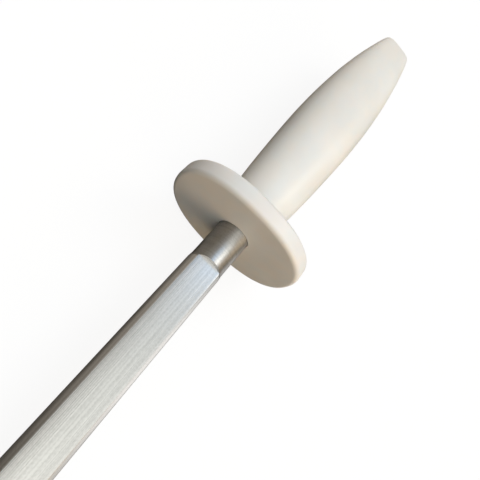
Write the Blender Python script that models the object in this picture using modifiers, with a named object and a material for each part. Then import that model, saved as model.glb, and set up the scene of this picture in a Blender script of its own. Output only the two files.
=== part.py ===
"""Knife sharpening steel: a round steel with two grooved flats, an oval guard and a barrel-shaped handle.

Every piece is drawn in the same local frame: x across the guard's width, y up, and z along the steel.
Stations are distances along the steel from the guard's front face, positive towards the butt.
"""

import math

import bmesh
import bpy

MM = 0.001

# The steel.
REACH = 300.0 * MM  # guard's front face to the tip
BLADE_D = 11.9 * MM
TIP_LENGTH = 7.0 * MM  # of the rounded tip, a quarter of an ellipse
TIP_STEPS = 8
NECK_D = 11.7 * MM
BLADE_THICK = 8.4 * MM  # across the two flats
FLAT_END = -14.5 * MM
WALL_SLOPE = 0.1  # how far the flat's end wall leans towards the guard for each unit it rises
TAPER_START = FLAT_END - 1.0 * MM  # the blade narrows to the neck between these two
TAPER_END = FLAT_END + 1.3 * MM
NECK_CHAMFER = 0.2 * MM
FLAT_CROWN = 0.1 * MM
GROOVES = 10
GROOVE_PITCH = 0.8 * MM
GROOVE_DEPTH = 0.15 * MM

# The tang: a round bar with two flats, then a round threaded end.
SHOULDER = 2.9 * MM
RELIEF = 0.3 * MM  # a groove that frees the tang's root from the shoulder's corner
RELIEF_D = 5.6 * MM
TANG_D = 8.0 * MM
TANG_THICK = 6.0 * MM
TANG_END = 107.0 * MM
TANG_CHAMFER = 0.6 * MM
THREAD_D = 4.0 * MM
THREAD_END = 124.5 * MM
THREAD_CHAMFER = 0.4 * MM

# The guard.
GUARD_W = 51.0 * MM
GUARD_H = 38.5 * MM
GUARD_T = 6.6 * MM
GUARD_RIM = 1.6 * MM
GUARD_POWER = 2.3
COUNTERBORE = 3.2 * MM
SEAL_STATION = 1.6 * MM
SEAL_SECTION = 1.0 * MM

# The handle.
SPIGOT_W = 13.4 * MM
SPIGOT_H = 11.0 * MM
SPIGOT_DEPTH = 1.5 * MM
SPIGOT_POWER = 2.2
WEB_START = 110.0 * MM
WEB_END = 113.0 * MM
BUTT_BORE_D = 7.0 * MM

# What closes the butt bore: a washer, a nut and a plug, all round.
WASHER_THICK = 0.8 * MM
NUT_LENGTH = 12.0 * MM
NUT_CHAMFER = 0.3 * MM
SLOT_WIDTH = 1.0 * MM
SLOT_DEPTH = 1.4 * MM
PLUG_LENGTH = 10.2 * MM
PLUG_TAPER = 1.5 * MM
PLUG_LEAD = 0.6 * MM
PLUG_CHAMFER = 0.4 * MM

# Clearance left between pieces that touch on the real object.
GAP = 0.3 * MM
OVERCUT = 1.0 * MM  # how far a cutter runs past the face that it opens

# How many sides the round pieces and bores have, and how many points the ovals have.
ROUND_STEPS = 48
BORE_STEPS = 32
FLATTED_STEPS = 12
GUARD_STEPS = 72
SPIGOT_STEPS = 40
HANDLE_STEPS = 48
SEAL_STEPS = 40
SEAL_SIDES = 10

# Station, width, height over width, and squareness of the section (2 is an ellipse), in millimetres.
# The first section is GAP behind the guard, and the last is the butt.
HANDLE_SECTIONS = (
    (6.9, 18.6, 0.86, 2.2),
    (7.6, 19.5, 0.86, 2.2),
    (10.5, 20.3, 0.85, 2.25),
    (16.0, 21.5, 0.84, 2.3),
    (24.0, 23.1, 0.82, 2.35),
    (33.0, 24.5, 0.81, 2.4),
    (43.0, 25.8, 0.80, 2.45),
    (54.0, 27.0, 0.79, 2.5),
    (64.0, 27.7, 0.79, 2.5),
    (74.0, 27.9, 0.79, 2.5),
    (84.0, 27.5, 0.79, 2.55),
    (94.0, 26.7, 0.79, 2.6),
    (104.0, 25.2, 0.79, 2.7),
    (112.8, 23.4, 0.80, 2.9),
    (120.0, 21.4, 0.80, 3.3),
    (126.5, 19.4, 0.80, 3.8),
    (131.0, 17.9, 0.80, 4.3),
    (134.0, 16.8, 0.80, 4.5),
    (135.6, 16.1, 0.80, 4.5),
    (136.4, 15.4, 0.80, 4.5),
    (136.8, 14.8, 0.80, 4.5),
    (137.0, 14.2, 0.80, 4.5),
)

HANDLE_START = HANDLE_SECTIONS[0][0] * MM
HANDLE_END = HANDLE_SECTIONS[-1][0] * MM

# The row's origin is under the middle of the whole length, on the surface that it lies on.
GUARD_X = (REACH - HANDLE_END) / 2
AXIS_Z = GUARD_H / 2
ALONG_THE_STEEL = (math.pi / 2, 0.0, math.pi / 2)


def clear_scene():
    for obj in list(bpy.data.objects):
        bpy.data.objects.remove(obj, do_unlink=True)


def new_collection(name, hidden):
    collection = bpy.data.collections.new(name)
    bpy.context.scene.collection.children.link(collection)
    collection.hide_render = hidden
    return collection


def new_material(name, color, metallic, roughness):
    material = bpy.data.materials.new(name)
    material.use_nodes = True
    shader = material.node_tree.nodes["Principled BSDF"]
    shader.inputs["Base Color"].default_value = (*color, 1.0)
    shader.inputs["Metallic"].default_value = metallic
    shader.inputs["Roughness"].default_value = roughness
    material.diffuse_color = (*color, 1.0)
    return material


def placed(mesh, name, collection):
    """An object made of this mesh, turned so that its local z runs along the steel."""
    obj = bpy.data.objects.new(name, mesh)
    obj.rotation_euler = ALONG_THE_STEEL
    obj.location = (GUARD_X, 0.0, AXIS_Z)
    collection.objects.link(obj)
    return obj


def as_cutter(obj):
    obj.hide_render = True
    obj.display_type = "WIRE"
    return obj


def revolved(name, profile, collection, steps=ROUND_STEPS):
    """A turned piece. Its profile is (radius, station) from the highest station down its outer side."""
    mesh = bpy.data.meshes.new(name)
    points = [(radius, 0.0, station) for radius, station in profile]
    edges = [(i, i + 1) for i in range(len(points) - 1)]
    if profile[0][0] > 0.0:
        edges.append((len(points) - 1, 0))
    mesh.from_pydata(points, edges, [])
    obj = placed(mesh, name, collection)
    screw = obj.modifiers.new("turned", "SCREW")
    screw.steps = steps
    screw.render_steps = steps
    screw.use_merge_vertices = True
    screw.merge_threshold = 0.00001
    screw.use_smooth_shade = False
    return obj


def slab(name, outline, start, end, collection, rim=0.0):
    """A flat outline in x and y, filled and run from one station to another, with its rims rounded by rim."""
    curve = bpy.data.curves.new(name, "CURVE")
    curve.dimensions = "2D"
    curve.fill_mode = "BOTH"
    curve.extrude = (end - start) / 2 - rim
    curve.bevel_depth = rim
    curve.bevel_resolution = 3 if rim else 0
    spline = curve.splines.new("POLY")
    spline.points.add(len(outline) - 1)
    for point, (x, y) in zip(spline.points, outline):
        point.co = (x, y, 0.0, 1.0)
    spline.use_cyclic_u = True
    drawn = bpy.data.objects.new(name + "_outline", curve)
    bpy.context.scene.collection.objects.link(drawn)
    graph = bpy.context.evaluated_depsgraph_get()
    mesh = bpy.data.meshes.new_from_object(drawn.evaluated_get(graph))
    bpy.data.objects.remove(drawn, do_unlink=True)
    bpy.data.curves.remove(curve)
    body = bmesh.new()
    body.from_mesh(mesh)
    bmesh.ops.remove_doubles(body, verts=body.verts, dist=0.000001)
    bmesh.ops.translate(body, verts=body.verts, vec=(0.0, 0.0, (start + end) / 2))
    bmesh.ops.recalc_face_normals(body, faces=body.faces)
    body.to_mesh(mesh)
    body.free()
    mesh.name = name
    return placed(mesh, name, collection)


def oval(width, height, power, count):
    """Points round a superellipse, anticlockwise."""
    points = []
    for i in range(count):
        angle = 2 * math.pi * i / count
        c = math.cos(angle)
        s = math.sin(angle)
        x = math.copysign(abs(c) ** (2 / power), c) * width / 2
        y = math.copysign(abs(s) ** (2 / power), s) * height / 2
        points.append((x, y))
    return points


def flatted_round(diameter, thick, count=FLATTED_STEPS):
    """A circle with its top and bottom cut flat, as on the tang."""
    radius = diameter / 2
    half = math.asin(thick / diameter)
    points = []
    for side in (0.0, math.pi):
        for i in range(count + 1):
            angle = side - half + 2 * half * i / count
            points.append((radius * math.cos(angle), radius * math.sin(angle)))
    return points


def subtract(obj, cutter, name):
    cut = obj.modifiers.new(name, "BOOLEAN")
    cut.operation = "DIFFERENCE"
    cut.solver = "EXACT"
    cut.object = as_cutter(cutter)


def finish(obj, material, sharp_degrees=35.0):
    """Gives the piece its material and smooth shading between its sharp edges."""
    obj.data.materials.clear()
    obj.data.materials.append(material)
    for polygon in obj.data.polygons:
        polygon.use_smooth = True
    if obj.data.polygons:
        obj.data.set_sharp_from_angle(angle=math.radians(sharp_degrees))


def flat_cutter(name, turned_over, collection):
    """What the grinder takes off one side of the blade: a block whose underside carries the grooves."""
    level = BLADE_THICK / 2
    edge = level - 2 * FLAT_CROWN
    outer = BLADE_D
    half = GROOVES * GROOVE_PITCH / 2
    outline = [(-outer, outer), (-outer, edge)]
    for i in range(2 * GROOVES + 1):
        x = (i / 2) * GROOVE_PITCH - half
        y = level - FLAT_CROWN * (x / half) ** 2
        outline.append((x, y - GROOVE_DEPTH if i % 2 else y))
    outline += [(outer, edge), (outer, outer)]
    cutter = slab(name, outline, -REACH - OVERCUT, FLAT_END, collection)
    for vertex in cutter.data.vertices:
        if vertex.co.z > -REACH / 2:
            vertex.co.z += WALL_SLOPE * (vertex.co.y - level)
        if turned_over:
            vertex.co.x = -vertex.co.x
            vertex.co.y = -vertex.co.y
    return cutter


def make_steel_rod(pieces, cutters, material):
    blade = BLADE_D / 2
    neck = NECK_D / 2
    tang = TANG_D / 2
    thread = THREAD_D / 2
    profile = [
        (0.0, THREAD_END),
        (thread - THREAD_CHAMFER, THREAD_END),
        (thread, THREAD_END - THREAD_CHAMFER),
        (thread, TANG_END),
        (tang - TANG_CHAMFER, TANG_END),
        (tang, TANG_END - TANG_CHAMFER),
        (tang, SHOULDER + RELIEF),
        (RELIEF_D / 2, SHOULDER + RELIEF),
        (RELIEF_D / 2, SHOULDER),
        (neck - NECK_CHAMFER, SHOULDER),
        (neck, SHOULDER - NECK_CHAMFER),
        (neck, TAPER_END),
        (blade, TAPER_START),
    ]
    for i in range(TIP_STEPS):
        turn = math.pi / 2 * i / TIP_STEPS
        profile.append((blade * math.cos(turn), TIP_LENGTH * (1 - math.sin(turn)) - REACH))
    profile.append((0.0, -REACH))
    rod = revolved("steel_rod", profile, pieces)
    subtract(rod, flat_cutter("upper_flat_cutter", False, cutters), "upper_flat")
    subtract(rod, flat_cutter("lower_flat_cutter", True, cutters), "lower_flat")
    root = SHOULDER + RELIEF / 2
    outline = [
        (-TANG_D, TANG_THICK / 2),
        (TANG_D, TANG_THICK / 2),
        (TANG_D, TANG_D),
        (-TANG_D, TANG_D),
    ]
    above = slab("tang_flat_cutter", outline, root, TANG_END + OVERCUT, cutters)
    subtract(rod, above, "tang_upper_flat")
    outline = [(x, -y) for x, y in outline]
    below = slab("tang_under_cutter", outline, root, TANG_END + OVERCUT, cutters)
    subtract(rod, below, "tang_lower_flat")
    finish(rod, material)


def make_neck_seal(pieces, material):
    bpy.ops.mesh.primitive_torus_add(
        major_segments=SEAL_STEPS,
        minor_segments=SEAL_SIDES,
        major_radius=NECK_D / 2 + GAP + SEAL_SECTION / 2,
        minor_radius=SEAL_SECTION / 2,
    )
    made = bpy.context.object
    mesh = made.data
    bpy.data.objects.remove(made, do_unlink=True)
    mesh.name = "neck_seal"
    seal = placed(mesh, "neck_seal", pieces)
    seal.location.x += SEAL_STATION
    finish(seal, material, 80.0)


def make_guard(pieces, cutters, material):
    core = oval(GUARD_W - 2 * GUARD_RIM, GUARD_H - 2 * GUARD_RIM, GUARD_POWER, GUARD_STEPS)
    guard = slab("guard", core, 0.0, GUARD_T, pieces, rim=GUARD_RIM)
    mouth = NECK_D / 2 + GAP
    groove = mouth + SEAL_SECTION + GAP
    half = SEAL_SECTION / 2 + GAP
    profile = [
        (0.0, COUNTERBORE),
        (mouth, COUNTERBORE),
        (mouth, SEAL_STATION + half),
        (groove, SEAL_STATION + half),
        (groove, SEAL_STATION - half),
        (mouth, SEAL_STATION - half),
        (mouth, -OVERCUT),
        (0.0, -OVERCUT),
    ]
    subtract(guard, revolved("neck_hole_cutter", profile, cutters), "neck_hole")
    keyed = flatted_round(TANG_D + 2 * GAP, TANG_THICK + 2 * GAP)
    hole = slab("guard_key_cutter", keyed, COUNTERBORE - OVERCUT, GUARD_T + OVERCUT, cutters)
    subtract(guard, hole, "tang_hole")
    seat = oval(SPIGOT_W + 2 * GAP, SPIGOT_H + 2 * GAP, SPIGOT_POWER, SPIGOT_STEPS)
    depth = GUARD_T - SPIGOT_DEPTH
    recess = slab("spigot_seat_cutter", seat, depth, GUARD_T + OVERCUT, cutters)
    subtract(guard, recess, "spigot_seat")
    finish(guard, material)


def make_handle(pieces, cutters, material):
    """The grip is lofted through its sections, from the spigot that the guard seats to the butt."""
    rings = [(HANDLE_START - SPIGOT_DEPTH + GAP, SPIGOT_W, SPIGOT_H, SPIGOT_POWER)]
    rings.append((HANDLE_START, SPIGOT_W, SPIGOT_H, SPIGOT_POWER))
    rings += [(s * MM, w * MM, w * share * MM, power) for s, w, share, power in HANDLE_SECTIONS]
    body = bmesh.new()
    loops = []
    for station, width, height, power in rings:
        outline = oval(width, height, power, HANDLE_STEPS)
        loops.append([body.verts.new((x, y, station)) for x, y in outline])
    for low, high in zip(loops, loops[1:]):
        for i in range(HANDLE_STEPS):
            j = (i + 1) % HANDLE_STEPS
            body.faces.new((low[i], low[j], high[j], high[i]))
    body.faces.new(loops[0][::-1])
    body.faces.new(loops[-1])
    mesh = bpy.data.meshes.new("handle")
    body.to_mesh(mesh)
    body.free()
    handle = placed(mesh, "handle", pieces)
    keyed = flatted_round(TANG_D + 2 * GAP, TANG_THICK + 2 * GAP)
    bore = slab("tang_bore_cutter", keyed, 0.0, WEB_START, cutters)
    subtract(handle, bore, "tang_bore")
    profile = [
        (0.0, HANDLE_END + OVERCUT),
        (BUTT_BORE_D / 2, HANDLE_END + OVERCUT),
        (BUTT_BORE_D / 2, WEB_END),
        (THREAD_D / 2 + GAP, WEB_END),
        (THREAD_D / 2 + GAP, WEB_START - OVERCUT),
        (0.0, WEB_START - OVERCUT),
    ]
    subtract(handle, revolved("butt_bore_cutter", profile, cutters, BORE_STEPS), "butt_bore")
    finish(handle, material)


def make_tang_washer(pieces, material):
    start = WEB_END + GAP
    inner = THREAD_D / 2 + GAP
    outer = BUTT_BORE_D / 2 - GAP
    profile = [
        (inner, start + WASHER_THICK),
        (outer, start + WASHER_THICK),
        (outer, start),
        (inner, start),
    ]
    finish(revolved("tang_washer", profile, pieces, BORE_STEPS), material)


def make_tang_nut(pieces, cutters, material):
    """A long round nut, driven by the slot across its outer end."""
    start = WEB_END + GAP + WASHER_THICK + GAP
    end = start + NUT_LENGTH
    inner = THREAD_D / 2 + GAP
    outer = BUTT_BORE_D / 2 - GAP
    profile = [
        (inner, end),
        (outer - NUT_CHAMFER, end),
        (outer, end - NUT_CHAMFER),
        (outer, start),
        (inner, start),
    ]
    nut = revolved("tang_nut", profile, pieces, BORE_STEPS)
    half = SLOT_WIDTH / 2
    outline = [(-half, -BUTT_BORE_D), (half, -BUTT_BORE_D), (half, BUTT_BORE_D), (-half, BUTT_BORE_D)]
    slot = slab("nut_slot_cutter", outline, end - SLOT_DEPTH, end + OVERCUT, cutters)
    subtract(nut, slot, "driver_slot")
    finish(nut, material)


def make_butt_plug(pieces, material):
    radius = BUTT_BORE_D / 2 - GAP
    end = HANDLE_END
    profile = [
        (0.0, end),
        (radius - PLUG_CHAMFER, end),
        (radius, end - PLUG_CHAMFER),
        (radius, end - PLUG_LENGTH + PLUG_TAPER),
        (radius - PLUG_LEAD, end - PLUG_LENGTH),
        (0.0, end - PLUG_LENGTH),
    ]
    finish(revolved("butt_plug", profile, pieces, BORE_STEPS), material)


def main():
    clear_scene()
    pieces = new_collection("knife_sharpening_steel", False)
    cutters = new_collection("cutters", True)
    make_steel_rod(pieces, cutters, new_material("ground_steel", (0.60, 0.60, 0.61), 1.0, 0.32))
    make_neck_seal(pieces, new_material("seal_rubber", (0.03, 0.03, 0.03), 0.0, 0.7))
    make_guard(pieces, cutters, new_material("guard_plastic", (0.86, 0.83, 0.78), 0.0, 0.45))
    make_handle(pieces, cutters, new_material("handle_plastic", (0.87, 0.85, 0.80), 0.0, 0.45))
    make_tang_washer(pieces, new_material("washer_steel", (0.55, 0.55, 0.56), 1.0, 0.35))
    make_tang_nut(pieces, cutters, new_material("nut_brass", (0.72, 0.55, 0.28), 1.0, 0.35))
    make_butt_plug(pieces, new_material("plug_plastic", (0.85, 0.83, 0.78), 0.0, 0.5))


main()
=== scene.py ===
"""Looks of the knife sharpening steel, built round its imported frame.

The steel, the guard, the handle and the butt plug are drawn again here as fine meshes, at the frame's sizes.
The sealed inner pieces keep their frame shapes and get better materials.
Stations are metres along the steel from the guard's front face, positive towards the butt, as in the frame.
"""

import math
import random

import bmesh
import bpy
import numpy as np
from mathutils import Euler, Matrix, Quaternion, Vector


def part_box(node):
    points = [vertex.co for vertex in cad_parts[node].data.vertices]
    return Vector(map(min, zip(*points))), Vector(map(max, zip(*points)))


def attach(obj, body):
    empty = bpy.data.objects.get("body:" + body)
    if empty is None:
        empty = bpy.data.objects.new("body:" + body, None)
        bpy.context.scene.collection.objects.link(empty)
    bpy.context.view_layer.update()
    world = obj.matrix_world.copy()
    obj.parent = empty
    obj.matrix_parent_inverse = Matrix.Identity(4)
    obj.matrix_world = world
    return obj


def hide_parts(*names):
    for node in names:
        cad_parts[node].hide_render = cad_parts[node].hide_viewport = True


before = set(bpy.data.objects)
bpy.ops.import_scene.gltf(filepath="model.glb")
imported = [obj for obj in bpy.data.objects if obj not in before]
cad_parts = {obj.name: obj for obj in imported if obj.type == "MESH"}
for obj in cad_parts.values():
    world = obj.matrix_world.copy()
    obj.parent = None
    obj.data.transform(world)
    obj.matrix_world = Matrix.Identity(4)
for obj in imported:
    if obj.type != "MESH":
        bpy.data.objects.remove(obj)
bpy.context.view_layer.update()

MM = 0.001
ROOT = "root"

# Places read from the frame.
GUARD_LOW, GUARD_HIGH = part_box("guard")
ROD_LOW, ROD_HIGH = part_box("steel_rod")
PLUG_LOW, PLUG_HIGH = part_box("butt_plug")
FACE_X = GUARD_LOW.x
AXIS_Y = (GUARD_LOW.y + GUARD_HIGH.y) / 2
AXIS_Z = (GUARD_LOW.z + GUARD_HIGH.z) / 2
GUARD_W = GUARD_HIGH.y - GUARD_LOW.y
GUARD_H = GUARD_HIGH.z - GUARD_LOW.z
GUARD_T = GUARD_HIGH.x - GUARD_LOW.x
REACH = FACE_X - ROD_LOW.x
THREAD_END = ROD_HIGH.x - FACE_X
HANDLE_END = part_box("handle")[1].x - FACE_X

# Clearance left in the frame between pieces that touch on the real object.
GAP = 0.3 * MM

# The steel, as in the frame.
BLADE_R = (ROD_HIGH.y - ROD_LOW.y) / 2
NECK_R = 5.85 * MM
FLAT_LEVEL = 4.2 * MM  # height of each flat above the axis
FLAT_END = -14.5 * MM
WALL_SLOPE = 0.1  # how far the flat's end wall leans towards the guard for each unit it rises
WALL_BOW = 0.8 * MM  # how far the middle of the end wall stands towards the guard
BLEND_START = FLAT_END - 1.0 * MM
BLEND_END = FLAT_END + 1.3 * MM
WAIST = 0.1 * MM  # how much polishing has thinned the neck next to the flats
WAIST_END = -2.0 * MM
SHOULDER = 2.9 * MM
NECK_CHAMFER = 0.2 * MM
RELIEF_END = SHOULDER + GAP
RELIEF_R = 2.8 * MM
TANG_R = 4.0 * MM
TANG_HALF = 3.0 * MM
TANG_END = 107.0 * MM
THREAD_R = 2.0 * MM
THREAD_CHAMFER = 0.4 * MM
TIP_LENGTH = 7.0 * MM

# What grinding leaves on each flat: bevels along each edge, as (distance from the flat's middle, slope).
WIDE_BEVELS = (
    (2.6 * MM, math.radians(3.0)),
    (3.7 * MM, math.radians(8.0)),
    (4.2 * MM, math.radians(20.0)),
)
NARROW_BEVELS = ((3.9 * MM, math.radians(4.0)),)
EDGE_STEP = 0.01 * MM  # how closely the edge of a flat is found

# Fine lines along each flat, in zones from its wide-bevelled edge across: (where the zone ends, the lines'
# spacing, how steep their sides can be).
LINE_ZONES = (
    (1.2 * MM, 0.46 * MM, 0.18),
    (-2.6 * MM, 0.9 * MM, 0.09),
    (-9.0 * MM, 0.7 * MM, 0.10),
)
LINE_WIDTHS = (0.22 * MM, 0.34 * MM)  # the narrowest and the widest
GENTLEST_SHARE = 0.3  # the shallowest line's slope as a share of the steepest
SPACING_SPREAD = (0.7, 1.3)  # each gap between lines as a share of its zone's spacing
LARGEST_STEP = 0.2 * MM  # between points across a flat
UPPER_SEED = 3  # of the random lines on the upper flat
LOWER_SEED = 11  # and on the lower

# Which of the rod's faces get the paler steel, painted brighter to stand in for the light they reflect: the
# blade's round sides, which lie within the depth below of its radius, and the flats' end walls, whose
# normal's x is below WALL_NORMAL.
PAINTED_BRIGHT_DEPTH = 0.03 * MM
WALL_NORMAL = -0.7

# The guard.
GUARD_POWER = 2.3
GUARD_RIM = 1.6 * MM
NECK_HOLE_R = 6.0 * MM
HOLE_EDGE = 0.12 * MM
COUNTERBORE = 3.2 * MM
SEAL_GROOVE_R = 7.45 * MM
SEAL_GROOVE = (0.8 * MM, 2.4 * MM)
SPIGOT_HALF = (6.7 * MM, 5.5 * MM)  # the handle's spigot, and the guard's seat for it
SEAT_HALF = (SPIGOT_HALF[0] + GAP, SPIGOT_HALF[1] + GAP)
SEAT_POWER = 2.2
SEAT_DEPTH = 1.5 * MM
KEY_R = TANG_R + GAP
KEY_HALF = TANG_HALF + GAP

# The handle.
HANDLE_START = GUARD_T + GAP
SPIGOT_START = HANDLE_START - SEAT_DEPTH
WEB_START = 110.0 * MM
WEB_END = 113.0 * MM
BUTT_BORE_R = 3.5 * MM
BUTT_EDGE = 0.25 * MM
THREAD_HOLE_R = THREAD_R + GAP
GRIP_LEAST = 1.5 * BUTT_BORE_R  # a ring of the frame's handle that is narrower than this belongs to a bore

# How square the handle's section is (2 is an ellipse) at these stations.
SQUARENESS = (
    (6.9 * MM, 2.2),
    (16.0 * MM, 2.3),
    (54.0 * MM, 2.5),
    (84.0 * MM, 2.55),
    (104.0 * MM, 2.7),
    (112.8 * MM, 2.9),
    (120.0 * MM, 3.3),
    (126.5 * MM, 3.8),
    (131.0 * MM, 4.3),
    (134.0 * MM, 4.5),
)

# The plug, with a small dimple that moulding leaves in the middle of its outer face.
PLUG_LEAD = 0.6 * MM
PLUG_TAPER = 1.5 * MM
PLUG_CHAMFER = 0.4 * MM
DIMPLE_R = 0.9 * MM
DIMPLE_FLOOR_R = 0.75 * MM
DIMPLE_DEPTH = 0.12 * MM

# How finely the pieces are drawn: points round each, then rings along each stretch.
ROUND_SIDE_POINTS = 40
GUARD_POINTS = 192
HANDLE_POINTS = 160
PLUG_POINTS = 96
TIP_RINGS = 16
BLADE_RINGS = 28
BLEND_RINGS = 5
WALL_RINGS = 5
NECK_RINGS = 8
FACE_RINGS = 8
RIM_RINGS = 10
BACK_RINGS = 6
CHAMFER_RINGS = 6
HANDLE_SPACING = 1.5 * MM
FEWEST_HANDLE_RINGS = 3
BUTT_RING_SHARE = 0.4
STATION_DIGITS = 6  # decimals kept of the frame's stations, in metres
ROUNDING = 10.0**-STATION_DIGITS
MERGE_DISTANCE = 1e-7

# The camera, from the middle of the guard's front face.
CAMERA_FROM_FACE = Vector((-0.0537, 0.0146, 0.0998))
TARGET_FROM_FACE = Vector((0.0008, -0.0030, 0.0))
CAMERA_ROLL = math.radians(60.9)
CAMERA_LENS = 26.6

# The floor, just under the guard's rim.
FLOOR_DROP = 0.15 * MM
FLOOR_SIZE = 4.0
FLOOR_GREY = 0.12
FLOOR_GLOW = 0.88

# A dim warm room, and the soft round sources in it: (direction, sharpness, colour).
ROOM_LIGHT = (0.035, 0.03, 0.022)
ROOM_SOURCES = (
    ((-0.16, -0.38, 0.90), 6.5, (1.98, 1.98, 1.87)),  # wide, nearly overhead
    ((0.67, -0.29, 0.68), 9.0, (0.08, 0.16, 0.30)),
    ((0.92, 0.35, 0.15), 8.0, (1.35, 1.15, 0.92)),  # warm, beyond the butt
    ((0.40, 0.55, 0.73), 7.0, (0.34, 0.32, 0.28)),
    ((-0.55, -0.14, 0.82), 50.0, (2.4, 2.3, 2.1)),  # mirrored by the upper flat's end wall
    ((-0.51, -0.80, 0.31), 24.0, (4.9, 3.6, 2.2)),  # warm and low: lights the guard's front past the neck
    ((0.08, -0.87, -0.48), 15.0, (1.45, 1.42, 1.38)),  # low on the -Y side
    ((0.15, 0.95, -0.20), 9.0, (0.24, 0.21, 0.18)),
    ((0.52, -0.48, 0.71), 45.0, (6.2, 6.1, 5.8)),  # the white streak on the neck
    ((0.57, -0.07, 0.82), 80.0, (0.9, 2.1, 3.8)),  # its blue edge
)
BACKDROP = 0.98


# Meshes.


def row_point(station, across, up):
    return Vector((FACE_X + station, AXIS_Y + across, AXIS_Z + up))


def even_angles(count):
    return [2 * math.pi * i / count for i in range(count)]


def circle(radius, angles):
    return [(radius * math.cos(a), radius * math.sin(a)) for a in angles]


def oval(half, power, angles):
    """Points of a superellipse at these polar angles."""
    points = []
    for a in angles:
        c = math.cos(a)
        s = math.sin(a)
        r = (abs(c / half[0]) ** power + abs(s / half[1]) ** power) ** (-1 / power)
        points.append((r * c, r * s))
    return points


def flatted(radius, half_thick, angles):
    """Points of a circle whose top and bottom are cut flat."""
    points = []
    for a in angles:
        s = abs(math.sin(a))
        r = min(radius, half_thick / s) if s > 0.0 else radius
        points.append((r * math.cos(a), r * math.sin(a)))
    return points


def between(inner, outer, share):
    return [
        (p[0] + (q[0] - p[0]) * share, p[1] + (q[1] - p[1]) * share)
        for p, q in zip(inner, outer)
    ]


def at(station, outline):
    return [row_point(station, y, z) for y, z in outline]


def skin(name, rings, ends):
    """A closed mesh over rings of equal point count.

    ends is "loop" to join the last ring to the first, or "caps" to close both ends.
    """
    body = bmesh.new()
    rows = [[body.verts.new(p) for p in ring] for ring in rings]
    pairs = list(zip(rows, rows[1:]))
    if ends == "loop":
        pairs.append((rows[-1], rows[0]))
    count = len(rings[0])
    for low, high in pairs:
        for i in range(count):
            j = (i + 1) % count
            body.faces.new((low[i], low[j], high[j], high[i]))
    if ends == "caps":
        for row in (rows[0], rows[-1]):
            middle = sum((v.co for v in row), Vector()) / count
            centre = body.verts.new(middle)
            for i in range(count):
                body.faces.new((row[i], row[(i + 1) % count], centre))
    bmesh.ops.remove_doubles(body, verts=body.verts, dist=MERGE_DISTANCE)
    bmesh.ops.recalc_face_normals(body, faces=body.faces)
    mesh = bpy.data.meshes.new(name)
    body.to_mesh(mesh)
    body.free()
    obj = bpy.data.objects.new(name, mesh)
    bpy.context.scene.collection.objects.link(obj)
    return obj


def smooth(obj, sharp_degrees=20.0):
    for polygon in obj.data.polygons:
        polygon.use_smooth = True
    obj.data.set_sharp_from_angle(angle=math.radians(sharp_degrees))


def ease(value, start, end):
    share = min(max((value - start) / (end - start), 0.0), 1.0)
    return share * share * (3 - 2 * share)


# The steel.


def flat_height(across):
    """Height of a flat at this distance from its middle, before the fine lines."""
    drop = 0.0
    reached = 0.0
    for start, lean in WIDE_BEVELS if across > 0 else NARROW_BEVELS:
        slope = math.tan(lean)
        drop += (slope - reached) * max(0.0, abs(across) - start)
        reached = slope
    return FLAT_LEVEL - drop


def flat_edge(way):
    """Where the flat meets the round side, going this way from its middle."""
    across = 0.0
    while math.hypot(across, flat_height(across)) < BLADE_R:
        across += way * EDGE_STEP
    return across


def line_zone(across):
    return next(zone[1:] for zone in LINE_ZONES if across > zone[0])


def flat_profile(seed):
    """(across, height) points over one flat, from +across to -across, with a fine line every so often."""
    chance = random.Random(seed)
    edges = (flat_edge(1), flat_edge(-1))
    points = {edge: 0.0 for edge in edges}
    for start, _ in WIDE_BEVELS:
        points[start] = 0.0
    for start, _ in NARROW_BEVELS:
        points[-start] = 0.0
    middle = edges[0] - LINE_WIDTHS[1]
    while middle > edges[1] + LINE_WIDTHS[1]:
        spacing, steepest = line_zone(middle)
        half = chance.uniform(*LINE_WIDTHS) / 2
        depth = half * steepest * chance.uniform(GENTLEST_SHARE, 1.0)
        points = {k: v for k, v in points.items() if abs(k - middle) > half or k in edges}
        points[middle - half] = 0.0
        points[middle] = depth
        points[middle + half] = 0.0
        middle -= spacing * chance.uniform(*SPACING_SPREAD)
    marks = sorted(points, reverse=True)
    profile = []
    for start, end in zip(marks, marks[1:]):
        steps = math.ceil((start - end) / LARGEST_STEP)
        for i in range(steps):
            share = i / steps
            depth = points[start] + (points[end] - points[start]) * share
            across = start + (end - start) * share
            profile.append((across, flat_height(across) - depth))
    profile.append((marks[-1], flat_height(marks[-1])))
    return profile


def rod_polar():
    """(angle, reach) round the rod. reach is the flat's distance at that angle, or None on a round side."""
    upper = [(math.atan2(z, y), math.hypot(y, z)) for y, z in flat_profile(UPPER_SEED)]
    lower = [(math.atan2(z, y) + math.pi, math.hypot(y, z)) for y, z in flat_profile(LOWER_SEED)]
    polar = []
    for flat, following in ((upper, lower), (lower, upper)):
        polar += flat
        start = flat[-1][0]
        end = following[0][0]
        if end < start:
            end += 2 * math.pi
        turn = (end - start) / ROUND_SIDE_POINTS
        polar += [(start + turn * i, None) for i in range(1, ROUND_SIDE_POINTS)]
    return polar


def rod_radius(station):
    """The blade's radius, then a blend to the thinned neck, which comes back to its full radius."""
    neck = NECK_R - WAIST * (1 - ease(station, BLEND_END, WAIST_END))
    return BLADE_R + (neck - BLADE_R) * ease(station, BLEND_START, BLEND_END)


def rod_ring(polar, radius, station, use_flats=True):
    ring = []
    for angle, reach in polar:
        r = min(radius, reach) if use_flats and reach else radius
        ring.append(row_point(station, r * math.cos(angle), r * math.sin(angle)))
    return ring


def wall_bow(angle, reach):
    """How far the end wall stands towards the guard at this angle: most in the middle, none at the edges."""
    across = reach * math.cos(angle) / flat_edge(1)
    return WALL_BOW * max(0.0, 1 - across * across)


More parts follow.
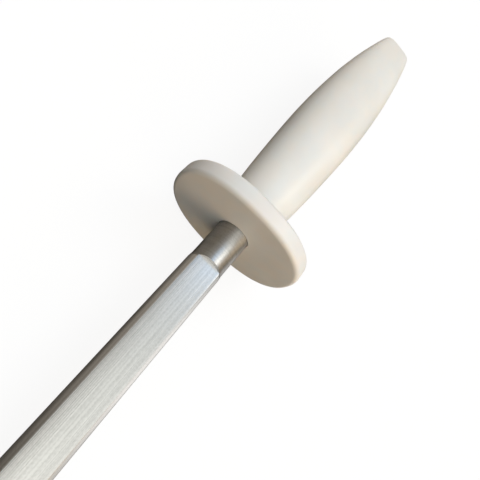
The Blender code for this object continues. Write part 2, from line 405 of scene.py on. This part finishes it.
def wall_foot(polar):
    """The ring in which the flats end."""
    radius = rod_radius(FLAT_END)
    ring = []
    for angle, reach in polar:
        station = FLAT_END + (wall_bow(angle, reach) if reach else 0.0)
        r = min(radius, reach) if reach else radius
        ring.append(row_point(station, r * math.cos(angle), r * math.sin(angle)))
    return ring


def wall_ring(polar, share):
    """A ring between the top of the flats' end walls (share 0) and the start of the neck (share 1)."""
    ring = []
    for angle, reach in polar:
        rise = 0.0
        top = FLAT_END
        if reach:
            height = abs(math.sin(angle)) * rod_radius(FLAT_END + WALL_SLOPE * (BLADE_R - FLAT_LEVEL))
            rise = max(0.0, height - reach * abs(math.sin(angle)))
            top += wall_bow(angle, reach) + WALL_SLOPE * rise
        station = top + (BLEND_END - top) * share
        radius = rod_radius(station)
        if reach and rise == 0.0 and share == 0.0:
            radius = min(radius, reach)
        ring.append(row_point(station, radius * math.cos(angle), radius * math.sin(angle)))
    return ring


def tang_ring(polar, radius, half_thick, station):
    return at(station, flatted(radius, half_thick, [angle for angle, _ in polar]))


def make_rod(ground, painted_bright, polished):
    polar = rod_polar()
    rings = []
    for i in range(1, TIP_RINGS + 1):
        share = math.cos(math.pi / 2 * i / TIP_RINGS)
        radius = BLADE_R * math.sqrt(1 - share * share)
        rings.append(rod_ring(polar, radius, TIP_LENGTH * (1 - share) - REACH))
    span = BLEND_START - (TIP_LENGTH - REACH)
    for i in range(1, BLADE_RINGS + 1):
        rings.append(rod_ring(polar, BLADE_R, TIP_LENGTH - REACH + span * i / BLADE_RINGS))
    for i in range(1, BLEND_RINGS):
        station = BLEND_START + (FLAT_END - BLEND_START) * i / BLEND_RINGS
        rings.append(rod_ring(polar, rod_radius(station), station))
    rings.append(wall_foot(polar))
    for i in range(WALL_RINGS + 1):
        rings.append(wall_ring(polar, i / WALL_RINGS))
    for i in range(1, NECK_RINGS + 1):
        station = BLEND_END + (WAIST_END - BLEND_END) * i / NECK_RINGS
        rings.append(rod_ring(polar, rod_radius(station), station, False))
    rings.append(rod_ring(polar, NECK_R, SHOULDER - NECK_CHAMFER, False))
    rings.append(rod_ring(polar, NECK_R - NECK_CHAMFER, SHOULDER, False))
    rings.append(rod_ring(polar, RELIEF_R, SHOULDER, False))
    rings.append(rod_ring(polar, RELIEF_R, RELIEF_END, False))
    rings.append(tang_ring(polar, TANG_R, TANG_HALF, RELIEF_END))
    rings.append(tang_ring(polar, TANG_R, TANG_HALF, TANG_END))
    rings.append(rod_ring(polar, THREAD_R, TANG_END, False))
    rings.append(rod_ring(polar, THREAD_R, THREAD_END - THREAD_CHAMFER, False))
    rings.append(rod_ring(polar, THREAD_R - THREAD_CHAMFER, THREAD_END, False))
    rod = skin("steel_rod_fine", rings, "caps")
    for material in (ground, painted_bright, polished):
        rod.data.materials.append(material)
    for polygon in rod.data.polygons:
        station = polygon.center.x - FACE_X
        reach = math.hypot(polygon.center.y - AXIS_Y, polygon.center.z - AXIS_Z)
        # Index 1 is the paler steel, a painted reflection on the end walls and the blade's round sides;
        # index 2 is the polished neck.
        if station > FLAT_END:
            polygon.material_index = 1 if polygon.normal.x < WALL_NORMAL else 2
        elif station > TIP_LENGTH - REACH and reach > BLADE_R - PAINTED_BRIGHT_DEPTH:
            polygon.material_index = 1
    smooth(rod, sharp_degrees=4.4)
    return rod


# The guard.


def make_guard(plastic):
    angles = even_angles(GUARD_POINTS)
    half = (GUARD_W / 2, GUARD_H / 2)
    hole = circle(NECK_HOLE_R, angles)
    lip = circle(NECK_HOLE_R + HOLE_EDGE, angles)
    flat_rim = oval((half[0] - GUARD_RIM, half[1] - GUARD_RIM), GUARD_POWER, angles)
    seat = oval(SEAT_HALF, SEAT_POWER, angles)
    key = flatted(KEY_R, KEY_HALF, angles)
    groove = circle(SEAL_GROOVE_R, angles)
    rings = [at(HOLE_EDGE, hole)]
    for i in range(FACE_RINGS + 1):
        rings.append(at(0.0, between(lip, flat_rim, i / FACE_RINGS)))
    for face, way in ((GUARD_RIM, -1), (GUARD_T - GUARD_RIM, 1)):
        for i in range(RIM_RINGS + 1):
            share = i / RIM_RINGS
            turn = math.pi / 2 * (share if way < 0 else 1 - share)
            inset = GUARD_RIM * (1 - math.sin(turn))
            outline = oval((half[0] - inset, half[1] - inset), GUARD_POWER, angles)
            rings.append(at(face + way * GUARD_RIM * math.cos(turn), outline))
    for i in range(1, BACK_RINGS + 1):
        rings.append(at(GUARD_T, between(flat_rim, seat, i / BACK_RINGS)))
    rings.append(at(GUARD_T - SEAT_DEPTH, seat))
    rings.append(at(GUARD_T - SEAT_DEPTH, key))
    rings.append(at(COUNTERBORE, key))
    rings.append(at(COUNTERBORE, hole))
    rings.append(at(SEAL_GROOVE[1], hole))
    rings.append(at(SEAL_GROOVE[1], groove))
    rings.append(at(SEAL_GROOVE[0], groove))
    rings.append(at(SEAL_GROOVE[0], hole))
    guard = skin("guard_fine", rings, "loop")
    guard.data.materials.append(plastic)
    smooth(guard)
    return guard


# The handle.


def frame_sections():
    """Station, half width and half height of the handle wherever the frame's grip has a ring of points."""
    points = np.array([v.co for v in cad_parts["handle"].data.vertices])
    stations = np.round(points[:, 0] - FACE_X, STATION_DIGITS)
    sections = []
    for station in np.unique(stations):
        ring = points[stations == station]
        width = np.abs(ring[:, 1] - AXIS_Y).max()
        height = np.abs(ring[:, 2] - AXIS_Z).max()
        if station >= HANDLE_START - ROUNDING and width > GRIP_LEAST:
            sections.append((float(station), float(width), float(height)))
    return sections


def smooth_through(xs, ys, at_x):
    """A curve through these points that never overshoots them."""
    h = np.diff(xs)
    d = np.diff(ys) / h
    slopes = np.zeros(len(xs))
    for i in range(1, len(xs) - 1):
        if d[i - 1] * d[i] > 0:
            w1 = 2 * h[i] + h[i - 1]
            w2 = h[i] + 2 * h[i - 1]
            slopes[i] = (w1 + w2) / (w1 / d[i - 1] + w2 / d[i])
    slopes[0] = d[0]
    slopes[-1] = d[-1]
    i = np.clip(np.searchsorted(xs, at_x) - 1, 0, len(xs) - 2)
    t = (at_x - xs[i]) / h[i]
    a = (1 + 2 * t) * (1 - t) ** 2
    b = t * (1 - t) ** 2
    c = t * t * (3 - 2 * t)
    e = t * t * (t - 1)
    return a * ys[i] + b * h[i] * slopes[i] + c * ys[i + 1] + e * h[i] * slopes[i + 1]


def handle_power(station):
    return float(np.interp(station, [s for s, _ in SQUARENESS], [power for _, power in SQUARENESS]))


def make_handle(plastic):
    angles = even_angles(HANDLE_POINTS)
    sections = frame_sections()
    xs = np.array([s[0] for s in sections])
    widths = np.array([s[1] for s in sections])
    heights = np.array([s[2] for s in sections])
    spigot = oval(SPIGOT_HALF, SEAT_POWER, angles)
    bore = circle(BUTT_BORE_R, angles)
    screw = circle(THREAD_HOLE_R, angles)
    key = flatted(KEY_R, KEY_HALF, angles)
    rings = [at(SPIGOT_START, spigot), at(HANDLE_START, spigot)]
    for low, high in zip(xs, xs[1:]):
        steps = max(FEWEST_HANDLE_RINGS, round((high - low) / HANDLE_SPACING))
        for i in range(steps):
            station = low + (high - low) * i / steps
            half = (
                float(smooth_through(xs, widths, station)),
                float(smooth_through(xs, heights, station)),
            )
            rings.append(at(station, oval(half, handle_power(station), angles)))
    butt = oval((float(widths[-1]), float(heights[-1])), handle_power(HANDLE_END), angles)
    rings.append(at(HANDLE_END, butt))
    bore_edge = circle(BUTT_BORE_R + BUTT_EDGE, angles)
    rings.append(at(HANDLE_END, between(bore_edge, butt, BUTT_RING_SHARE)))
    rings.append(at(HANDLE_END, bore_edge))
    rings.append(at(HANDLE_END - BUTT_EDGE, bore))
    rings.append(at(WEB_END, bore))
    rings.append(at(WEB_END, screw))
    rings.append(at(WEB_START, screw))
    rings.append(at(WEB_START, key))
    rings.append(at(SPIGOT_START, key))
    handle = skin("handle_fine", rings, "loop")
    handle.data.materials.append(plastic)
    smooth(handle)
    return handle


def make_plug(plastic):
    angles = even_angles(PLUG_POINTS)
    radius = (PLUG_HIGH.y - PLUG_LOW.y) / 2
    start = PLUG_LOW.x - FACE_X
    end = PLUG_HIGH.x - FACE_X
    rings = [at(start, circle(radius - PLUG_LEAD, angles)), at(start + PLUG_TAPER, circle(radius, angles))]
    for i in range(CHAMFER_RINGS + 1):
        turn = math.pi / 2 * i / CHAMFER_RINGS
        inset = PLUG_CHAMFER * (1 - math.cos(turn))
        rings.append(at(end - PLUG_CHAMFER * (1 - math.sin(turn)), circle(radius - inset, angles)))
    rings.append(at(end, circle(DIMPLE_R, angles)))
    rings.append(at(end - DIMPLE_DEPTH, circle(DIMPLE_FLOOR_R, angles)))
    plug = skin("butt_plug_fine", rings, "caps")
    plug.data.materials.append(plastic)
    smooth(plug, sharp_degrees=25.0)
    return plug


# Materials.


def new_material(name):
    material = bpy.data.materials.new(name)
    material.use_nodes = True
    return material, material.node_tree.nodes, material.node_tree.links


def stretched(nodes, links, scale, offset=0.0):
    """Object coordinates multiplied by scale along each axis, then moved by offset."""
    place = nodes.new("ShaderNodeTexCoord")
    mapping = nodes.new("ShaderNodeMapping")
    mapping.inputs["Scale"].default_value = scale
    mapping.inputs["Location"].default_value = (offset, offset, offset)
    links.new(place.outputs["Object"], mapping.inputs["Vector"])
    return mapping.outputs["Vector"]


def noise(nodes, links, vector, detail, rough=0.5):
    texture = nodes.new("ShaderNodeTexNoise")
    texture.inputs["Scale"].default_value = 1.0
    texture.inputs["Detail"].default_value = detail
    texture.inputs["Roughness"].default_value = rough
    links.new(vector, texture.inputs["Vector"])
    return texture.outputs["Fac"]


def ramp(nodes, links, value, low, high):
    """A colour ramp between (position, colour) low and high."""
    colours = nodes.new("ShaderNodeValToRGB")
    for element, (position, colour) in zip(colours.color_ramp.elements, (low, high)):
        element.position = position
        element.color = (*colour, 1.0)
    links.new(value, colours.inputs["Fac"])
    return colours.outputs["Color"]


def spread(nodes, links, value, low, high):
    """value, which runs from about 0.3 to 0.7, spread over low to high."""
    remap = nodes.new("ShaderNodeMapRange")
    remap.inputs["From Min"].default_value = 0.3
    remap.inputs["From Max"].default_value = 0.7
    remap.inputs["To Min"].default_value = low
    remap.inputs["To Max"].default_value = high
    links.new(value, remap.inputs["Value"])
    return remap.outputs["Result"]


def bump(nodes, links, height, strength, distance, after=None):
    node = nodes.new("ShaderNodeBump")
    node.inputs["Strength"].default_value = strength
    node.inputs["Distance"].default_value = distance
    links.new(height, node.inputs["Height"])
    if after is not None:
        links.new(after, node.inputs["Normal"])
    return node.outputs["Normal"]


def steel_material(name, tint, roughness, streaks, bump_distance, anisotropy=0.0, turned=False):
    """Bare metal. streaks is how finely its lines repeat along, across and up the steel.

    Its highlights stretch round the steel, or along it if turned.
    """
    material, nodes, links = new_material(name)
    shader = nodes["Principled BSDF"]
    shader.inputs["Metallic"].default_value = 1.0
    cloud = noise(nodes, links, stretched(nodes, links, (60.0, 220.0, 220.0)), 2.0)
    wide = noise(nodes, links, stretched(nodes, links, (35.0, 90.0, 90.0)), 1.0)
    strands = nodes.new("ShaderNodeMix")
    links.new(spread(nodes, links, wide, 0.0, 1.0), strands.inputs["Factor"])
    for offset, socket in ((0.0, "A"), (0.37, "B")):
        strand = noise(nodes, links, stretched(nodes, links, streaks, offset), 4.0, 0.65)
        links.new(strand, strands.inputs[socket])
    speckle = noise(nodes, links, stretched(nodes, links, (1800.0, 2400.0, 2400.0)), 1.0)
    mottled = nodes.new("ShaderNodeMix")
    mottled.inputs["Factor"].default_value = 0.25
    links.new(strands.outputs["Result"], mottled.inputs["A"])
    links.new(speckle, mottled.inputs["B"])
    lines = mottled.outputs["Result"]
    dark = tuple(0.80 * c for c in tint)
    tone = ramp(nodes, links, lines, (0.40, dark), (0.57, tint))
    links.new(tone, shader.inputs["Base Color"])
    links.new(spread(nodes, links, cloud, *roughness), shader.inputs["Roughness"])
    links.new(bump(nodes, links, lines, 0.6, bump_distance), shader.inputs["Normal"])
    if anisotropy:
        shader.inputs["Anisotropic"].default_value = anisotropy
        shader.inputs["Anisotropic Rotation"].default_value = 0.25 if turned else 0.0
        round_the_steel = nodes.new("ShaderNodeTangent")
        round_the_steel.direction_type = "RADIAL"
        round_the_steel.axis = "X"
        links.new(round_the_steel.outputs["Tangent"], shader.inputs["Tangent"])
    return material


def plastic_material(name, pale, deep, roughness):
    """Satin moulded plastic that lets a little light through its edges."""
    material, nodes, links = new_material(name)
    shader = nodes["Principled BSDF"]
    cloud = noise(nodes, links, stretched(nodes, links, (45.0, 60.0, 60.0)), 3.0)
    grain = noise(nodes, links, stretched(nodes, links, (2600.0, 2600.0, 2600.0)), 2.0)
    waves = noise(nodes, links, stretched(nodes, links, (90.0, 140.0, 140.0)), 1.0)
    tone = ramp(nodes, links, cloud, (0.35, deep), (0.62, pale))
    patches = noise(nodes, links, stretched(nodes, links, (70.0, 110.0, 110.0), 0.7), 2.0, 0.6)
    blush = ramp(nodes, links, patches, (0.40, (1.0, 0.985, 0.975)), (0.60, (0.965, 0.985, 1.0)))
    tinted = nodes.new("ShaderNodeVectorMath")
    tinted.operation = "MULTIPLY"
    links.new(tone, tinted.inputs[0])
    links.new(blush, tinted.inputs[1])
    links.new(tinted.outputs["Vector"], shader.inputs["Base Color"])
    links.new(spread(nodes, links, cloud, *roughness), shader.inputs["Roughness"])
    shader.inputs["Subsurface Weight"].default_value = 0.12
    shader.inputs["Subsurface Radius"].default_value = (1.0, 0.7, 0.42)
    shader.inputs["Subsurface Scale"].default_value = 2.2 * MM
    shader.inputs["IOR"].default_value = 1.49
    soft = bump(nodes, links, waves, 0.35, 0.05 * MM)
    links.new(bump(nodes, links, grain, 0.25, 0.012 * MM, soft), shader.inputs["Normal"])
    return material


def rubber_material():
    material, nodes, links = new_material("seal_rubber_matt")
    shader = nodes["Principled BSDF"]
    grain = noise(nodes, links, stretched(nodes, links, (3500.0, 3500.0, 3500.0)), 2.0)
    tone = ramp(nodes, links, grain, (0.35, (0.018, 0.017, 0.016)), (0.65, (0.035, 0.034, 0.032)))
    links.new(tone, shader.inputs["Base Color"])
    links.new(spread(nodes, links, grain, 0.6, 0.8), shader.inputs["Roughness"])
    links.new(bump(nodes, links, grain, 0.3, 0.01 * MM), shader.inputs["Normal"])
    return material


def dress(node, material):
    """Gives a frame node that is kept a better material."""
    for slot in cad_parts[node].material_slots:
        slot.material = material


# The stage.


def rest_tilt(rod, pivot_x):
    """Angle of a table on which the guard's rim and the steel's tip both rest."""
    angles = [
        math.atan2(v.co.z, pivot_x - v.co.x)
        for v in rod.data.vertices
        if v.co.x < FACE_X + FLAT_END
    ]
    return min(angles)


def make_floor(rod):
    pivot = Vector(((GUARD_LOW.x + GUARD_HIGH.x) / 2, AXIS_Y, -FLOOR_DROP))
    mesh = bpy.data.meshes.new("floor")
    body = bmesh.new()
    bmesh.ops.create_grid(body, x_segments=1, y_segments=1, size=FLOOR_SIZE)
    body.to_mesh(mesh)
    body.free()
    floor = bpy.data.objects.new("floor", mesh)
    floor.location = pivot
    floor.rotation_euler = Euler((0.0, rest_tilt(rod, pivot.x), 0.0))
    bpy.context.scene.collection.objects.link(floor)
    material, nodes, links = new_material("floor_white")
    shader = nodes["Principled BSDF"]
    shader.inputs["Base Color"].default_value = (FLOOR_GREY, FLOOR_GREY, FLOOR_GREY, 1.0)
    shader.inputs["Roughness"].default_value = 0.9
    shader.inputs["Specular IOR Level"].default_value = 0.0
    shader.inputs["Emission Color"].default_value = (1.0, 1.0, 1.0, 1.0)
    shader.inputs["Emission Strength"].default_value = FLOOR_GLOW
    mesh.materials.append(material)
    floor.visible_diffuse = False
    floor.visible_glossy = False
    floor.visible_shadow = False


def soft_source(nodes, links, direction, sharpness, colour, so_far):
    """Adds a soft round source in this direction to the room's light. Sharpness 5 is wide, and 40 a lamp."""
    place = nodes.new("ShaderNodeTexCoord")
    facing = nodes.new("ShaderNodeVectorMath")
    facing.operation = "DOT_PRODUCT"
    facing.inputs[1].default_value = Vector(direction).normalized()
    links.new(place.outputs["Generated"], facing.inputs[0])
    falloff = nodes.new("ShaderNodeMath")
    falloff.operation = "MULTIPLY_ADD"
    falloff.inputs[1].default_value = sharpness
    falloff.inputs[2].default_value = -sharpness
    links.new(facing.outputs["Value"], falloff.inputs[0])
    lobe = nodes.new("ShaderNodeMath")
    lobe.operation = "EXPONENT"
    links.new(falloff.outputs["Value"], lobe.inputs[0])
    tinted = nodes.new("ShaderNodeVectorMath")
    tinted.operation = "SCALE"
    tinted.inputs[0].default_value = colour
    links.new(lobe.outputs["Value"], tinted.inputs["Scale"])
    total = nodes.new("ShaderNodeVectorMath")
    total.operation = "ADD"
    links.new(tinted.outputs["Vector"], total.inputs[0])
    if isinstance(so_far, tuple):
        total.inputs[1].default_value = so_far
    else:
        links.new(so_far, total.inputs[1])
    return total.outputs["Vector"]


def make_world():
    """The room lights the object, and the camera sees a plain pale backdrop in its place."""
    world = bpy.data.worlds.new("room")
    world.use_nodes = True
    nodes = world.node_tree.nodes
    links = world.node_tree.links
    light = ROOM_LIGHT
    for direction, sharpness, colour in ROOM_SOURCES:
        light = soft_source(nodes, links, direction, sharpness, colour, light)
    lit = nodes["Background"]
    links.new(light, lit.inputs["Color"])
    pale = nodes.new("ShaderNodeBackground")
    pale.inputs["Color"].default_value = (BACKDROP, BACKDROP, BACKDROP, 1.0)
    seen = nodes.new("ShaderNodeLightPath")
    mix = nodes.new("ShaderNodeMixShader")
    links.new(seen.outputs["Is Camera Ray"], mix.inputs["Fac"])
    links.new(lit.outputs["Background"], mix.inputs[1])
    links.new(pale.outputs["Background"], mix.inputs[2])
    links.new(mix.outputs["Shader"], nodes["World Output"].inputs["Surface"])
    bpy.context.scene.world = world


def make_camera():
    face = Vector((FACE_X, AXIS_Y, AXIS_Z))
    data = bpy.data.cameras.new("camera")
    data.lens = CAMERA_LENS
    data.sensor_width = 36.0
    data.clip_start = 0.001
    data.clip_end = 20.0
    camera = bpy.data.objects.new("camera", data)
    camera.location = face + CAMERA_FROM_FACE
    view = face + TARGET_FROM_FACE - camera.location
    turned = view.to_track_quat("-Z", "Y") @ Quaternion((0.0, 0.0, 1.0), CAMERA_ROLL)
    camera.rotation_mode = "QUATERNION"
    camera.rotation_quaternion = turned
    bpy.context.scene.collection.objects.link(camera)
    bpy.context.scene.camera = camera


def main():
    ground = steel_material(
        "steel_ground",
        tint=(0.49, 0.494, 0.49),
        roughness=(0.28, 0.35),
        streaks=(0.0, 1500.0, 1500.0),
        bump_distance=0.003 * MM,
        anisotropy=0.3,
    )
    # A paler copy of the ground steel: painted brightness, standing in for the light that the blade's round
    # sides and the flats' end walls reflect.
    painted_bright = steel_material(
        "steel_painted_bright",
        tint=(0.84, 0.84, 0.835),
        roughness=(0.28, 0.36),
        streaks=(0.0, 1500.0, 1500.0),
        bump_distance=0.002 * MM,
        anisotropy=0.4,
    )
    polished = steel_material(
        "steel_polished",
        tint=(0.52, 0.52, 0.515),
        roughness=(0.36, 0.42),
        streaks=(1600.0, 40.0, 40.0),
        bump_distance=0.0006 * MM,
        anisotropy=0.85,
        turned=True,
    )
    washer = steel_material(
        "washer_stamped",
        tint=(0.56, 0.56, 0.57),
        roughness=(0.30, 0.42),
        streaks=(800.0, 800.0, 800.0),
        bump_distance=0.002 * MM,
    )
    brass = steel_material(
        "brass_turned",
        tint=(0.74, 0.56, 0.28),
        roughness=(0.24, 0.36),
        streaks=(4000.0, 400.0, 400.0),
        bump_distance=0.002 * MM,
    )
    guard_plastic = plastic_material(
        "guard_satin",
        pale=(0.785, 0.775, 0.76),
        deep=(0.745, 0.73, 0.71),
        roughness=(0.36, 0.46),
    )
    handle_plastic = plastic_material(
        "handle_satin",
        pale=(0.775, 0.765, 0.735),
        deep=(0.745, 0.735, 0.705),
        roughness=(0.34, 0.44),
    )
    plug_plastic = plastic_material(
        "plug_satin",
        pale=(0.775, 0.765, 0.73),
        deep=(0.74, 0.725, 0.695),
        roughness=(0.40, 0.50),
    )
    rod = make_rod(ground, painted_bright, polished)
    guard = make_guard(guard_plastic)
    handle = make_handle(handle_plastic)
    plug = make_plug(plug_plastic)
    for piece, node, slot in (
        (rod, "steel_rod", "ground_steel"),
        (guard, "guard", "guard_plastic"),
        (handle, "handle", "handle_plastic"),
        (plug, "butt_plug", "plug_plastic"),
    ):
        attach(piece, ROOT)
        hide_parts(node)
    dress("neck_seal", rubber_material())
    dress("tang_washer", washer)
    dress("tang_nut", brass)
    make_floor(rod)
    make_world()
    make_camera()
    bpy.context.scene.view_settings.view_transform = "Standard"


main()
